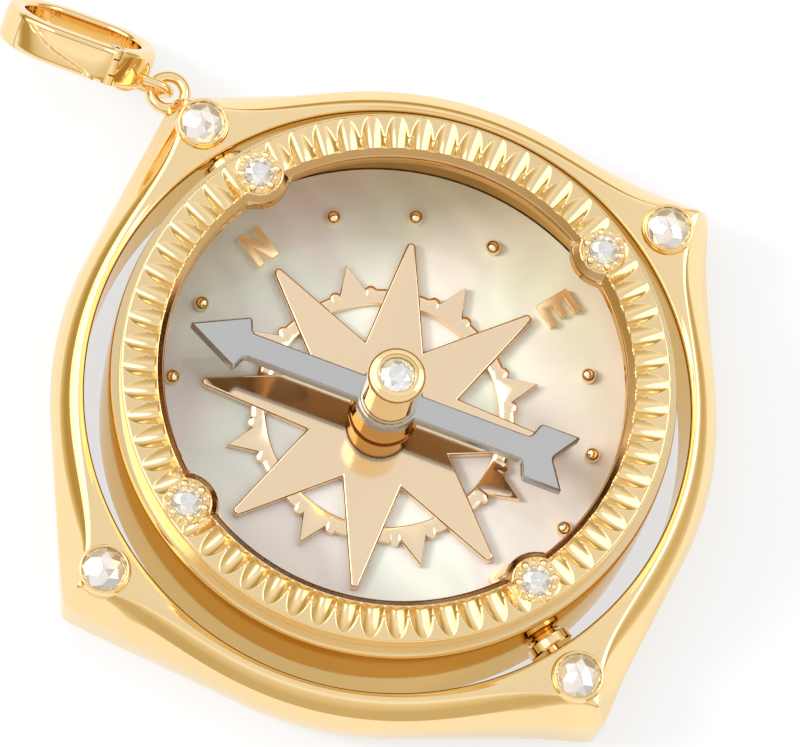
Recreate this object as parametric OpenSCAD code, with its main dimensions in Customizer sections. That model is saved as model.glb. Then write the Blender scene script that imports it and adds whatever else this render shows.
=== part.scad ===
// Compass charm pendant lying on its back.
// Millimetres. +Z up, +Y toward the hanging corner (compass north), +X toward compass east.
// The origin is the centre of the flat back of the compass case, on the table.

/* [Frame] */
// Radius of the round bore that the case turns in
frame_bore_r = 15.05; // [14.8:0.05:15.3]
// Radius of the outer wall at the middle of each side
frame_side_r = 16.15; // [15.9:0.05:16.6]
// Distance from the centre to each pointed corner
frame_corner_r = 18.95; // [18:0.05:20]
// Height of the frame
frame_h = 4.65; // [4:0.05:5.2]
// Bow of the outer wall at its widest
frame_bow = 0.45; // [0.2:0.05:0.5]
// Distance from the centre to the inner edge of the sloping shoulder
shoulder_r = 15.6; // [15.5:0.05:15.9]

/* [Frame stones] */
// Distance from the centre to each corner stone
corner_stone_at = 16.81; // [16.5:0.01:17.2]
// Radius of a corner stone
corner_stone_r = 1.1; // [0.9:0.01:1.2]
// Outer radius of a corner collet
corner_collet_r = 1.34; // [1.2:0.01:1.5]
// Height of the top of a corner collet
corner_collet_top = 5.0; // [4.8:0.05:5.3]

/* [Corner loop and link] */
// Distance from the centre to the middle of the corner loop
loop_at = 19.6; // [19.4:0.05:20]
// Height of the corner loop
loop_z = 2.6; // [2:0.1:3]
// Radius of the loop to the middle of its wire
loop_mid_r = 0.85; // [0.8:0.01:1]
// Radius of the loop wire
loop_wire_r = 0.3; // [0.25:0.01:0.35]
// Radius of the link wire
link_wire_r = 0.23; // [0.2:0.01:0.26]
// Radius of the link ends to the middle of the wire
link_end_r = 0.62; // [0.6:0.01:0.7]
// Length of the straight part of the link
link_straight = 1.02; // [0.9:0.01:1.1]

/* [Clip ring] */
// Outer radius of the clip ring ends
clip_end_r = 3; // [2.8:0.05:3.2]
// Half of the straight length of the clip ring
clip_half_straight = 0.9; // [0.6:0.05:1.2]
// Thickness of the clip ring wall
clip_wall = 0.85; // [0.7:0.05:1]
// Width of the clip ring band
clip_width = 1.9; // [1.6:0.1:2.2]
// Rounding of the band edges
clip_round = 0.3; // [0.2:0.05:0.4]
// Lean of the clip ring axis from vertical in degrees
clip_lean = 57.4; // [50:0.1:65]
// Heading of the long axis of the clip ring in degrees
clip_heading = 127.3; // [120:0.1:135]

/* [Case] */
// Height of the pin axis above the table
pin_z = 3.6; // [3.4:0.05:3.8]
// Radius inside the case
case_in_r = 13.05; // [12.8:0.05:13.2]
// Largest outer radius of the case wall
case_out_r = 14.05; // [13.9:0.05:14.2]
// Height of the case wall
case_h = 7.3; // [7:0.1:7.5]
// Thickness of the case back
case_back_t = 1.15; // [1:0.05:1.3]
// Radius of the pivot pin
pin_r = 0.35; // [0.3:0.01:0.4]
// Radius of the pin socket in the frame
socket_r = 0.4; // [0.36:0.01:0.45]
// Radius of the pivot collar's ring beside the frame
collar_r = 1.18; // [0.9:0.01:1.25]
// Radius of the pivot collar's ring beside the case
collar_in_r = 0.95; // [0.8:0.01:1.1]

/* [Bezel] */
// Inner radius of the bezel
bezel_in_r = 11.4; // [11.3:0.05:11.8]
// Outer radius of the bezel
bezel_out_r = 13.57; // [13.4:0.01:13.7]
// Height of the top of the bezel
bezel_top = 8.4; // [8.2:0.05:8.6]
// Number of flute positions round the bezel
flute_count = 64; // [48:4:72]
// Distance from the centre to each bezel stone
bezel_stone_at = 12.34; // [12.2:0.01:12.5]
// Radius of a bezel stone
bezel_stone_r = 0.72; // [0.6:0.01:0.8]

/* [Dial] */
// Height of the top of the dial
dial_top = 1.65; // [1.5:0.05:1.8]
// Turn of the dial furniture in the case in degrees
dial_turn = 2.3; // [0:0.1:5]
// Distance from the centre to each letter and dot
mark_at = 10.6; // [10.3:0.05:10.8]
// Bearing of the letter E, which sits a little south of east
letter_e_bearing = 92; // [88:0.5:94]
// Radius of a dot
dot_r = 0.4; // [0.3:0.02:0.45]
// Height of the raised letters
letter_h = 0.4; // [0.3:0.05:0.5]

/* [Compass rose] */
// Length of the rose arms
rose_tip_r = 9.15; // [8.8:0.05:9.5]
// Radius of the notches between the arms
rose_notch_r = 3.9; // [3.6:0.1:4.2]
// Thickness of the rose
rose_t = 0.52; // [0.4:0.02:0.6]
// Inner radius of the pointed ring
rose_ring_in = 5.8; // [5.6:0.05:6]
// Outer radius of the pointed ring
rose_ring_out = 6.6; // [6.4:0.05:6.8]
// Radius of the ring points
rose_point_r = 8; // [7.6:0.05:8.3]

/* [Post and needle] */
// Height of the top of the post
post_top = 8.5; // [8.2:0.05:8.6]
// Radius of the post cap
post_cap_r = 1.44; // [1.35:0.01:1.5]
// Radius of the lower part of the post
post_low_r = 1.62; // [1.55:0.01:1.7]
// Radius of the post neck inside the needle hub
post_neck_r = 1.2; // [1.1:0.01:1.3]
// Height of the underside of the needle
needle_z = 4.3; // [4.2:0.05:5.2]
// Thickness of the needle
needle_t = 0.62; // [0.3:0.01:0.7]
// Heading of the needle in degrees, counter-clockwise from north
needle_heading = 36.8; // [0:0.1:360]

/* [Hidden] */
$fn = 96;
eps = 0.02;
far = 30;
right_angle = 90;
quarter_turns = [0, 90, 180, 270];
octant = 45;
half_octant = 22.5;

corner_half_angle = acos(frame_side_r / frame_corner_r);
wall_bow_z = 2.9;
wall_bow_r = (wall_bow_z * wall_bow_z + frame_bow * frame_bow) / (2 * frame_bow);
wall_bow_at = frame_side_r + frame_bow - wall_bow_r;
bore_ease = 0.15;
corner_reach = 19.1;
wall_mid_r = (frame_bore_r + frame_side_r) / 2;
collet_base = 3.9;
corner_seat_z = 4.3;
corner_stone_base = 4.32;
corner_stone_top = 5.12;
socket_end = 16.05;
pin_end = 15.95;
solder_neck_r = 0.42;

link_length_mid = link_straight / 2;
link_heading = -52.7;
link_at = [-0.652, 20.466, 2.66];
clip_at = [-2.5, 24.1, 2.93];
clip_half_w = clip_width / 2;
clip_in_r = clip_end_r - clip_wall;
clip_mid_r = clip_end_r - clip_wall / 2;
clip_round_in = 0.18;
gate_free_x = 2.6;
gate_gap = 0.05;
hinge_angle = 62;
hinge_x = -clip_half_straight - clip_mid_r * cos(hinge_angle);
hinge_y = clip_mid_r * sin(hinge_angle);
hinge_lug_r = 0.45;
hinge_slot_r = 0.54;
hinge_pin_r = 0.16;
hinge_bore_r = 0.21;
hinge_lug_w = 0.5;
hinge_mid_w = 0.8;
pocket_x = -2.5;
pocket_low_y = -1.25;
pocket_high_y = 1.45;
pocket_top_z = 0.15;
eye_at = [-1.39, 21.43, 2.75];
eye_mid_r = 0.6;
eye_wire_r = 0.22;
eye_post_r = 0.2;
eye_post_at = [-3.17, 0, -0.3];
eye_post_h = 0.7;

foot_r = 13.78;
foot_ease = 0.2;
wall_arc_r = 90;
wall_arc_z = 4;
collar_from = 13.4;
collar_waist = 14.06;
collar_end = 14.82;
collar_waist_r = 0.7;
collar_groove = 0.2;
bezel_rim_w = 0.22;
bezel_seat_gap = 0.01;
flute_cut_r = 0.56;
flute_lift = 0.16;
flute_from = 12.02;
flute_to = 13.32;
flutes_per_quarter = flute_count / 4;
stone_pad_r = 1.55;
stone_seat_r = 0.76;
stone_seat_z = 7.95;
bezel_stone_base = 7.98;
bezel_stone_girdle = 8.42;
bezel_stone_top = 8.72;
prong_r = 0.17;
prong_at = 0.84;
prong_h = 0.24;
dial_r = 13.0;
stack_gap = 0.01;
rose_z = dial_top + stack_gap;
rose_top = rose_z + rose_t;
ring_t = rose_t - 0.1;
tip_round_r = 0.26;
ring_point_half = 0.72;
scallop_r = 0.28;
dot_cyl_h = 0.12;
needle_bore_r = post_neck_r + 0.05;
needle_hub_r = 1.68;
needle_head_tip = 10.5;
needle_head_back = 7.7;
needle_head_half = 1.42;
needle_half_w = 0.66;
needle_tail_from = 7.2;
needle_tail_wide = 7.5;
needle_tail_end = 9.58;
needle_tail_half = 1.5;
needle_tail_notch = 8.6;
needle_play = 0.06;
post_flange_r = 1.72;
post_flange_h = 0.15;
post_cap_round = 0.25;
post_stone_r = 0.86;
post_stone_seat = 0.62;

// Point at a distance and a compass bearing, clockwise from +Y
function bearing(r, a) = [r * sin(a), r * cos(a)];

module gold() {
    color([0.9, 0.72, 0.4]) children();
}

module stone_colour() {
    color([0.93, 0.95, 0.97]) children();
}

// Frame

// Bowed outer wall, sloping shoulder, flat land and eased bore edge
module frame_ring() {
    rotate_extrude($fn = 180)
    intersection() {
        translate([wall_bow_at, wall_bow_z])
        circle(r = wall_bow_r);
        polygon([
            [frame_bore_r, 0],
            [far, 0],
            [far, 1],
            [shoulder_r + frame_h - 1, 1],
            [shoulder_r, frame_h],
            [frame_bore_r + bore_ease, frame_h],
            [frame_bore_r, frame_h - bore_ease]
        ]);
    }
}

// Pointed corner where two bowed walls meet, each a continuation of the ring's wall
module corner_block() {
    intersection() {
        linear_extrude(height = frame_h)
        polygon([[0, 0], bearing(far, corner_half_angle), bearing(far, -corner_half_angle)]);
        corner_wall(1);
        corner_wall(-1);
        cylinder(r = corner_reach, h = frame_h, $fn = 180);
    }
}

module corner_wall(side) {
    rotate([0, 0, side * corner_half_angle])
    difference() {
        translate([-far / 2, wall_bow_at - eps, wall_bow_z])
        rotate([0, right_angle, 0])
        cylinder(r = wall_bow_r, h = far);
        translate([0, shoulder_r - eps, frame_h])
        rotate([octant, 0, 0])
        translate([-far / 2, 0, -3])
        cube([far, 3, 6]);
    }
}

module corner_collet() {
    translate([0, corner_stone_at, collet_base])
    cylinder(r = corner_collet_r, h = corner_collet_top - collet_base);
}

module corner_seat() {
    translate([0, corner_stone_at, corner_seat_z])
    cylinder(r = corner_stone_r + eps, h = 2);
}

module pin_socket() {
    translate([0, frame_bore_r - 1, pin_z])
    rotate([-right_angle, 0, 0])
    cylinder(r = socket_r, h = socket_end - frame_bore_r + 1);
}

module corner_loop() {
    translate([0, loop_at, loop_z])
    rotate_extrude()
    translate([loop_mid_r, 0])
    circle(r = loop_wire_r, $fn = 48);
}

// Short neck that solders the loop to the corner, kept clear of the loop's hole
module loop_neck() {
    difference() {
        translate([0, frame_corner_r - 1.2, loop_z])
        rotate([-right_angle, 0, 0])
        cylinder(r = solder_neck_r, h = 1.1);
        translate([0, loop_at, 0])
        cylinder(r = loop_mid_r, h = frame_h);
    }
}

module frame() {
    gold()
    difference() {
        union() {
            frame_ring();
            for (a = quarter_turns)
                rotate([0, 0, a]) {
                    difference() {
                        corner_block();
                        translate([0, 0, -1])
                        cylinder(r = wall_mid_r, h = frame_h + 2);
                    }
                    corner_collet();
                }
            corner_loop();
            loop_neck();
        }
        for (a = quarter_turns)
            rotate([0, 0, a])
            corner_seat();
        for (a = [0, 180])
            rotate([0, 0, a])
            pin_socket();
        translate([0, loop_at, loop_z])
        sphere(r = loop_mid_r - loop_wire_r);
    }
}

// Rose-cut stone: flat back, twelve lower facets, six upper ones and a small table
module rose_cut() {
    stone_colour()
    hull() {
        cylinder(r = corner_stone_r, h = 0.08, $fn = 12);
        translate([0, 0, 0.45])
        cylinder(r = corner_stone_r * 0.62, h = 0.01, $fn = 6);
        translate([0, 0, corner_stone_top - corner_stone_base - 0.01])
        cylinder(r = corner_stone_r * 0.16, h = 0.01, $fn = 6);
    }
}

module frame_stone(bearing_angle) {
    rotate([0, 0, -bearing_angle])
    translate([0, corner_stone_at, corner_stone_base])
    rotate([0, 0, bearing_angle * 0.7])
    rose_cut();
}

module frame_stone_n() {
    frame_stone(0);
}

module frame_stone_e() {
    frame_stone(90);
}

module frame_stone_s() {
    frame_stone(180);
}

module frame_stone_w() {
    frame_stone(270);
}

// Link

module link_end(turn) {
    rotate([0, 0, turn])
    translate([link_length_mid, 0, 0])
    rotate([0, 0, -right_angle])
    rotate_extrude(angle = 180)
    translate([link_end_r, 0])
    circle(r = link_wire_r, $fn = 48);
}

module link() {
    gold()
    translate(link_at)
    rotate([0, 0, link_heading])
    rotate([right_angle, 0, 0]) {
        link_end(0);
        link_end(180);
        for (side = [-1, 1])
            translate([-link_length_mid, side * link_end_r, 0])
            rotate([0, right_angle, 0])
            cylinder(r = link_wire_r, h = link_straight, $fn = 48);
    }
}

// Clip ring, drawn with its long axis on X and its front on +Y

module clip_pose() {
    translate(clip_at)
    rotate([0, 0, clip_heading])
    rotate([clip_lean, 0, 0])
    children();
}

// Section of the band beyond the inner radius, with rounded edges
module band_section() {
    difference() {
        translate([0, -clip_half_w])
        square([clip_wall, clip_width]);
        for (side = [-1, 1]) {
            translate([clip_wall, side * clip_half_w])
            corner_nick(clip_round);
            translate([0, side * clip_half_w])
            corner_nick(clip_round_in);
        }
    }
}

// Diamond-shaped nick that chamfers a corner of the section
module corner_nick(size) {
    rotate([0, 0, octant])
    square([size * 1.1, size * 1.1], center = true);
}

module band_end(turn) {
    rotate([0, 0, turn])
    translate([clip_half_straight, 0, 0])
    rotate([0, 0, -right_angle])
    rotate_extrude(angle = 180)
    translate([clip_in_r, 0])
    band_section();
}

module band_side(turn) {
    rotate([0, 0, turn])
    translate([clip_half_straight, clip_in_r, 0])
    rotate([0, -right_angle, 0])
    linear_extrude(height = clip_half_straight * 2)
    rotate([0, 0, right_angle])
    mirror([0, 1])
    band_section();
}

module band() {
    band_end(0);
    band_end(180);
    band_side(0);
    band_side(180);
}

// Front part of the band, from the hinge to the free end of the gate
module gate_zone(from_x, to_x) {
    translate([from_x, 0.6, -clip_width])
    cube([to_x - from_x, clip_end_r, clip_width * 2]);
}

module at_hinge(low_z) {
    translate([hinge_x, hinge_y, low_z])
    children();
}

module clip_ring() {
    gold() {
        clip_pose() {
            difference() {
                band();
                gate_zone(hinge_x, gate_free_x);
                at_hinge(-hinge_mid_w / 2 - gate_gap)
                cylinder(r = hinge_slot_r, h = hinge_mid_w + gate_gap * 2);
                translate([pocket_x - clip_end_r, pocket_low_y, pocket_top_z - clip_width])
                cube([clip_end_r, pocket_high_y - pocket_low_y, clip_width]);
            }
            for (low = [-clip_half_w, clip_half_w - hinge_lug_w])
                at_hinge(low)
                cylinder(r = hinge_lug_r, h = hinge_lug_w);
            at_hinge(-clip_half_w + eps)
            cylinder(r = hinge_pin_r, h = clip_width - eps * 2);
            translate(eye_post_at)
            cylinder(r = eye_post_r, h = eye_post_h);
        }
        translate(eye_at)
        rotate_extrude()
        translate([eye_mid_r, 0])
        circle(r = eye_wire_r, $fn = 48);
    }
}

module clip_gate() {
    gold()
    clip_pose()
    difference() {
        union() {
            difference() {
                intersection() {
                    band();
                    gate_zone(hinge_x, gate_free_x - gate_gap);
                }
                for (low = [-clip_width, hinge_mid_w / 2])
                    at_hinge(low)
                    cylinder(r = hinge_slot_r, h = clip_width - hinge_mid_w / 2);
            }
            at_hinge(-hinge_mid_w / 2)
            cylinder(r = hinge_lug_r, h = hinge_mid_w);
        }
        at_hinge(-clip_width)
        cylinder(r = hinge_bore_r, h = clip_width * 2);
    }
}

// Case

// Barrel-shaped wall over an eased foot, with the hollow above the back taken out
module case_section() {
    difference() {
        intersection() {
            translate([case_out_r - wall_arc_r, wall_arc_z])
            circle(r = wall_arc_r);
            polygon([
                [0, 0],
                [foot_r, 0],
                [foot_r + foot_ease * 0.6, foot_ease * 0.2],
                [foot_r + foot_ease, foot_ease],
                [far, foot_ease],
                [far, case_h],
                [0, case_h]
            ]);
        }
        translate([-eps, case_back_t])
        square([case_in_r + eps, case_h]);
    }
}

// Ribbed collar with the pin that runs in the frame's socket
module pivot() {
    translate([0, 0, pin_z])
    rotate([-right_angle, 0, 0])
    rotate_extrude()
    polygon([
        [0, collar_from],
        [collar_in_r, collar_from],
        [collar_in_r, collar_waist],
        [collar_waist_r, collar_waist],
        [collar_waist_r, collar_waist + collar_groove],
        [collar_r, collar_waist + collar_groove],
        [collar_r, collar_end],
        [pin_r, collar_end],
        [pin_r, pin_end],
        [0, pin_end]
    ]);
}

module case() {
    gold() {
        rotate_extrude($fn = 180)
        case_section();
        for (a = [0, 180])
            rotate([0, 0, a])
            pivot();
    }
}

// Bezel

module bezel_ring() {
    rotate_extrude($fn = 180)
    difference() {
        translate([bezel_in_r, case_h + bezel_seat_gap])
        square([bezel_out_r - bezel_in_r, bezel_top - case_h - bezel_seat_gap]);
        translate([bezel_out_r, bezel_top])
        corner_nick(bezel_rim_w);
        translate([bezel_in_r, bezel_top])
        corner_nick(bezel_rim_w);
    }
}

module stone_pad() {
    intersection() {
        translate([0, bezel_stone_at, case_h + bezel_seat_gap])
        cylinder(r = stone_pad_r, h = bezel_top - case_h - bezel_seat_gap);
        cylinder(r = bezel_out_r - eps, h = far, $fn = 180);
    }
}

module flute() {
    translate([0, flute_from, bezel_top + flute_lift])
    rotate([-right_angle, 0, 0])
    cylinder(r = flute_cut_r, h = flute_to - flute_from, $fn = 48);
}

module prongs() {
    for (a = [octant : right_angle : 360])
        translate([0, bezel_stone_at, bezel_top - 0.3])
        rotate([0, 0, a])
        translate([prong_at, 0, 0])
        cylinder(r = prong_r, h = prong_h + 0.3, $fn = 24);
}

module bezel() {
    gold()
    difference() {
        union() {
            bezel_ring();
            for (a = quarter_turns)
                rotate([0, 0, a]) {
                    stone_pad();
                    prongs();
                }
        }
        for (a = quarter_turns)
            rotate([0, 0, a]) {
                translate([0, bezel_stone_at, stone_seat_z])
                cylinder(r = stone_seat_r, h = 2);
                for (k = [2 : flutes_per_quarter - 2])
                    rotate([0, 0, k * 360 / flute_count])
                    flute();
            }
    }
}

// Brilliant: table, eight crown facets, girdle and eight pavilion facets
module brilliant(r, depth, girdle, crown) {
    stone_colour()
    hull() {
        cylinder(r = r * 0.25, h = 0.01, $fn = 8);
        translate([0, 0, depth])
        cylinder(r = r, h = girdle, $fn = 16);
        translate([0, 0, depth + girdle + crown - 0.01])
        cylinder(r = r * 0.58, h = 0.01, $fn = 8);
    }
}

module bezel_stone(bearing_angle) {
    rotate([0, 0, -bearing_angle])
    translate([0, bezel_stone_at, bezel_stone_base])
    brilliant(
        bezel_stone_r,
        bezel_stone_girdle - bezel_stone_base,
        0.06,
        bezel_stone_top - bezel_stone_girdle - 0.06
    );
}

module bezel_stone_n() {
    bezel_stone(0);
}

module bezel_stone_e() {
    bezel_stone(90);
}

module bezel_stone_s() {
    bezel_stone(180);
}

module bezel_stone_w() {
    bezel_stone(270);
}

// Dial

module dial() {
    color([0.86, 0.84, 0.82])
    translate([0, 0, case_back_t + stack_gap])
    cylinder(r = dial_r, h = dial_top - case_back_t - stack_gap, $fn = 180);
}

// Compass rose

module rose_arm() {
    polygon([
        [0, 0],
        bearing(rose_notch_r, half_octant),
        [tip_round_r, rose_tip_r - tip_round_r],
        [-tip_round_r, rose_tip_r - tip_round_r],
        bearing(rose_notch_r, -half_octant)
    ]);
    translate([0, rose_tip_r - tip_round_r])
    circle(r = tip_round_r, $fn = 24);
}

module ring_point() {
    polygon([
        [-ring_point_half, rose_ring_out - 0.15],
        [0, rose_point_r],
        [ring_point_half, rose_ring_out - 0.15]
    ]);
    for (side = [-1, 1])
        translate([side * (ring_point_half + scallop_r * 0.7), rose_ring_out - 0.16])
        circle(r = scallop_r, $fn = 24);
}

module compass_rose() {
    color([0.91, 0.78, 0.6])
    translate([0, 0, rose_z])
    rotate([0, 0, dial_turn]) {
        linear_extrude(height = rose_t)
        for (a = [0 : octant : 315])
            rotate([0, 0, a])
            rose_arm();
        linear_extrude(height = ring_t) {
            difference() {
                circle(r = rose_ring_out);
                circle(r = rose_ring_in);
            }
            for (a = [half_octant : octant : 360])
                rotate([0, 0, a])
                ring_point();
        }
    }
}

// Letters, each drawn upright in a box 1.8 high and centred

module glyph_n() {
    polygon([
        [-0.62, -0.9], [-0.62, 0.9], [-0.2, 0.9], [0.24, -0.1], [0.24, 0.9],
        [0.62, 0.9], [0.62, -0.9], [0.2, -0.9], [-0.24, 0.1], [-0.24, -0.9]
    ]);
}

module glyph_e() {
    polygon([
        [-0.65, -0.9], [-0.65, 0.9], [0.65, 0.9], [0.65, 0.52], [-0.22, 0.52], [-0.22, 0.2],
        [0.5, 0.2], [0.5, -0.18], [-0.22, -0.18], [-0.22, -0.52], [0.65, -0.52], [0.65, -0.9]
    ]);
}

module glyph_s() {
    polygon([
        [-0.65, -0.9], [-0.65, -0.52], [0.22, -0.52], [0.22, -0.18], [-0.5, -0.18], [-0.65, 0],
        [-0.65, 0.75], [-0.5, 0.9], [0.65, 0.9], [0.65, 0.52], [-0.22, 0.52], [-0.22, 0.2],
        [0.5, 0.2], [0.65, 0.05], [0.65, -0.75], [0.5, -0.9]
    ]);
}

module glyph_w() {
    polygon([
        [-0.9, 0.9], [-0.52, 0.9], [-0.34, -0.2], [-0.12, 0.55], [0.12, 0.55], [0.34, -0.2],
        [0.52, 0.9], [0.9, 0.9], [0.55, -0.9], [0.2, -0.9], [0, -0.2], [-0.2, -0.9], [-0.55, -0.9]
    ]);
}

module letter(bearing_angle) {
    color([0.91, 0.78, 0.6])
    rotate([0, 0, dial_turn - bearing_angle])
    translate([0, mark_at, dial_top + stack_gap])
    linear_extrude(height = letter_h)
    children();
}

module letter_n() {
    letter(0) glyph_n();
}

module letter_e() {
    letter(letter_e_bearing) glyph_e();
}

module letter_s() {
    letter(180) glyph_s();
}

module letter_w() {
    letter(270) glyph_w();
}

// Dots, three between each pair of letters

module dot(index) {
    quarter = floor((index - 1) / 3);
    step = (index - 1) % 3 + 1;
    gold()
    rotate([0, 0, dial_turn - quarter * right_angle - step * half_octant])
    translate([0, mark_at, dial_top + stack_gap]) {
        cylinder(r = dot_r, h = dot_cyl_h, $fn = 48);
        intersection() {
            translate([0, 0, dot_cyl_h])
            sphere(r = dot_r, $fn = 48);
            translate([0, 0, dot_cyl_h / 2])
            cylinder(r = dot_r * 2, h = 1);
        }
    }
}

// Post

module post() {
    gold()
    difference() {
        rotate_extrude() {
            translate([0, rose_top + stack_gap])
            square([post_flange_r, post_flange_h]);
            translate([0, rose_top + stack_gap])
            square([post_low_r, needle_z - needle_play - rose_top - stack_gap]);
            translate([0, rose_top + stack_gap])
            square([post_neck_r, post_top - rose_top - stack_gap - post_cap_round]);
            difference() {
                translate([0, needle_z + needle_t + needle_play])
                square([post_cap_r, post_top - needle_z - needle_t - needle_play]);
                translate([post_cap_r, post_top])
                corner_nick(post_cap_round);
            }
        }
        translate([0, 0, post_top - post_stone_seat])
        cylinder(r = post_stone_r + eps, h = 2);
    }
}

module post_stone() {
    translate([0, 0, post_top - post_stone_seat + stack_gap])
    brilliant(post_stone_r, 0.4, 0.08, 0.2);
}

// Needle, drawn pointing north

module needle_shape() {
    polygon([
        [0, needle_head_tip],
        [-needle_head_half, needle_head_back],
        [-needle_half_w, needle_head_back - 0.3],
        [-needle_half_w, -needle_tail_from],
        [-needle_tail_half, -needle_tail_wide],
        [-needle_tail_half, -needle_tail_end],
        [0, -needle_tail_notch],
        [needle_tail_half, -needle_tail_end],
        [needle_tail_half, -needle_tail_wide],
        [needle_half_w, -needle_tail_from],
        [needle_half_w, needle_head_back - 0.3],
        [needle_head_half, needle_head_back]
    ]);
    circle(r = needle_hub_r);
}

module needle() {
    color([0.75, 0.75, 0.76])
    translate([0, 0, needle_z])
    rotate([0, 0, needle_heading])
    linear_extrude(height = needle_t)
    difference() {
        needle_shape();
        circle(r = needle_bore_r);
    }
}

frame();
frame_stone_n();
frame_stone_e();
frame_stone_s();
frame_stone_w();
link();
clip_ring();
clip_gate();
case();
bezel();
bezel_stone_n();
bezel_stone_e();
bezel_stone_s();
bezel_stone_w();
dial();
compass_rose();
letter_n();
letter_e();
letter_s();
letter_w();
dot(1);  // dot_1
dot(2);  // dot_2
dot(3);  // dot_3
dot(4);  // dot_4
dot(5);  // dot_5
dot(6);  // dot_6
dot(7);  // dot_7
dot(8);  // dot_8
dot(9);  // dot_9
dot(10);  // dot_10
dot(11);  // dot_11
dot(12);  // dot_12
post();
post_stone();
needle();
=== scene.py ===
import math

import bmesh
import bpy
import numpy as np
from mathutils import Matrix, Vector


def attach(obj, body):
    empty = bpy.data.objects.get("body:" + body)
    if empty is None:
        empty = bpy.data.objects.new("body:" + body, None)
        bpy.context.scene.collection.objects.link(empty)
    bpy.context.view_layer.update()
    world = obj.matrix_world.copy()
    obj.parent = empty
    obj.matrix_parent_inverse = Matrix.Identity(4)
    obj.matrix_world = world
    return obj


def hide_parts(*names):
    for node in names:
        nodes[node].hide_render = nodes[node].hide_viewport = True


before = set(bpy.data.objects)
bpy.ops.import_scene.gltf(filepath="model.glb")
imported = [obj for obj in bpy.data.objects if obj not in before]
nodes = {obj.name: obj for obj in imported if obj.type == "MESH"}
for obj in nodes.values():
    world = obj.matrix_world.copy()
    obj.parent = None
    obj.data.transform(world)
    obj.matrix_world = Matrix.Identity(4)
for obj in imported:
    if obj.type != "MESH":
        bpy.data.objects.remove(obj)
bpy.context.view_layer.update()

# Sizes of the object are in millimetres and angles in degrees, and MM turns a size into metres

MM = 0.001
QUARTERS = {"n": 0.0, "e": 90.0, "s": 180.0, "w": 270.0}
DIAL_TURN = 2.3
PIN_Z = 3.6


# Materials

CLOUD_SCALE = 180.0
DRIFT_SCALE = 90.0
GRAIN_SCALE = 900.0
FINE_GRAIN = 1500.0
WALL_GRAIN = 2500.0
PLAIN_EDGE = (1.0, 1.0, 1.0)
# Darker edge tint of the shaded golds, part of their painted shade
PAINTED_SHADE_EDGE = (0.90, 0.70, 0.42)
MARK_DEPTH = 0.02
FACET_STEP = 0.11
PEARL_HALF = 11.0

# Places of the colour sockets on a mix node
MIX_FIRST, MIX_SECOND, MIX_RESULT = 6, 7, 2


def new_material(name):
    material = bpy.data.materials.new(name)
    material.use_nodes = True
    tree = material.node_tree
    return material, tree.nodes, tree.links, tree.nodes["Principled BSDF"]


def noise_node(tree_nodes, links, scale, detail, coords, stretch=None):
    noise = tree_nodes.new("ShaderNodeTexNoise")
    noise.inputs["Scale"].default_value = scale
    noise.inputs["Detail"].default_value = detail
    source = coords
    if stretch:
        mapping = tree_nodes.new("ShaderNodeMapping")
        mapping.inputs["Scale"].default_value = stretch
        links.new(coords, mapping.inputs["Vector"])
        source = mapping.outputs["Vector"]
    links.new(source, noise.inputs["Vector"])
    return noise


def ramp_node(tree_nodes, links, source, stops):
    """Colour ramp from (place, value) stops, where a value is a colour or a grey."""
    ramp = tree_nodes.new("ShaderNodeValToRGB")
    elements = ramp.color_ramp.elements
    while len(elements) < len(stops):
        elements.new(0.5)
    for element, (place, value) in zip(elements, stops):
        element.position = place
        element.color = (*value, 1.0) if isinstance(value, tuple) else (value, value, value, 1.0)
    links.new(source, ramp.inputs["Fac"])
    return ramp


def map_node(tree_nodes, links, source, span, values):
    """Maps a span of the source to the two values, held beyond its ends."""
    mapped = tree_nodes.new("ShaderNodeMapRange")
    mapped.inputs["From Min"].default_value, mapped.inputs["From Max"].default_value = span
    mapped.inputs["To Min"].default_value, mapped.inputs["To Max"].default_value = values
    links.new(source, mapped.inputs["Value"])
    return mapped


def product_node(tree_nodes, links, first, second):
    """Multiplies two colours and gives the output."""
    mix = tree_nodes.new("ShaderNodeMix")
    mix.data_type = "RGBA"
    mix.blend_type = "MULTIPLY"
    mix.inputs["Factor"].default_value = 1.0
    links.new(first, mix.inputs[MIX_FIRST])
    links.new(second, mix.inputs[MIX_SECOND])
    return mix.outputs[MIX_RESULT]


def set_glow(shader, colour, strength):
    shader.inputs["Emission Color"].default_value = (*colour, 1.0)
    shader.inputs["Emission Strength"].default_value = strength


def metal(name, colour, rough_low, rough_high, bump, grain_scale=GRAIN_SCALE, tint=0.03, edge=PLAIN_EDGE):
    """Polished or satin metal with faint cloudiness, fine handling marks and a slow colour drift."""
    material, tn, links, shader = new_material(name)
    coords = tn.new("ShaderNodeTexCoord").outputs["Object"]
    cloud = noise_node(tn, links, CLOUD_SCALE, 3.0, coords)
    rough = ramp_node(tn, links, cloud.outputs["Fac"], [(0.3, rough_low), (0.75, rough_high)])
    links.new(rough.outputs["Color"], shader.inputs["Roughness"])
    drift = noise_node(tn, links, DRIFT_SCALE, 2.0, coords)
    low = tuple(c * (1.0 - tint) for c in colour)
    high = tuple(min(1.0, c * (1.0 + tint)) for c in colour)
    shade = ramp_node(tn, links, drift.outputs["Fac"], [(0.3, low), (0.7, high)])
    links.new(shade.outputs["Color"], shader.inputs["Base Color"])
    grain = noise_node(tn, links, grain_scale, 4.0, coords, (1.0, 6.0, 1.0))
    lift = tn.new("ShaderNodeBump")
    lift.inputs["Strength"].default_value = bump
    lift.inputs["Distance"].default_value = MARK_DEPTH * MM
    links.new(grain.outputs["Fac"], lift.inputs["Height"])
    links.new(lift.outputs["Normal"], shader.inputs["Normal"])
    shader.inputs["Metallic"].default_value = 1.0
    shader.inputs["Specular Tint"].default_value = (*edge, 1.0)
    return material


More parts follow.
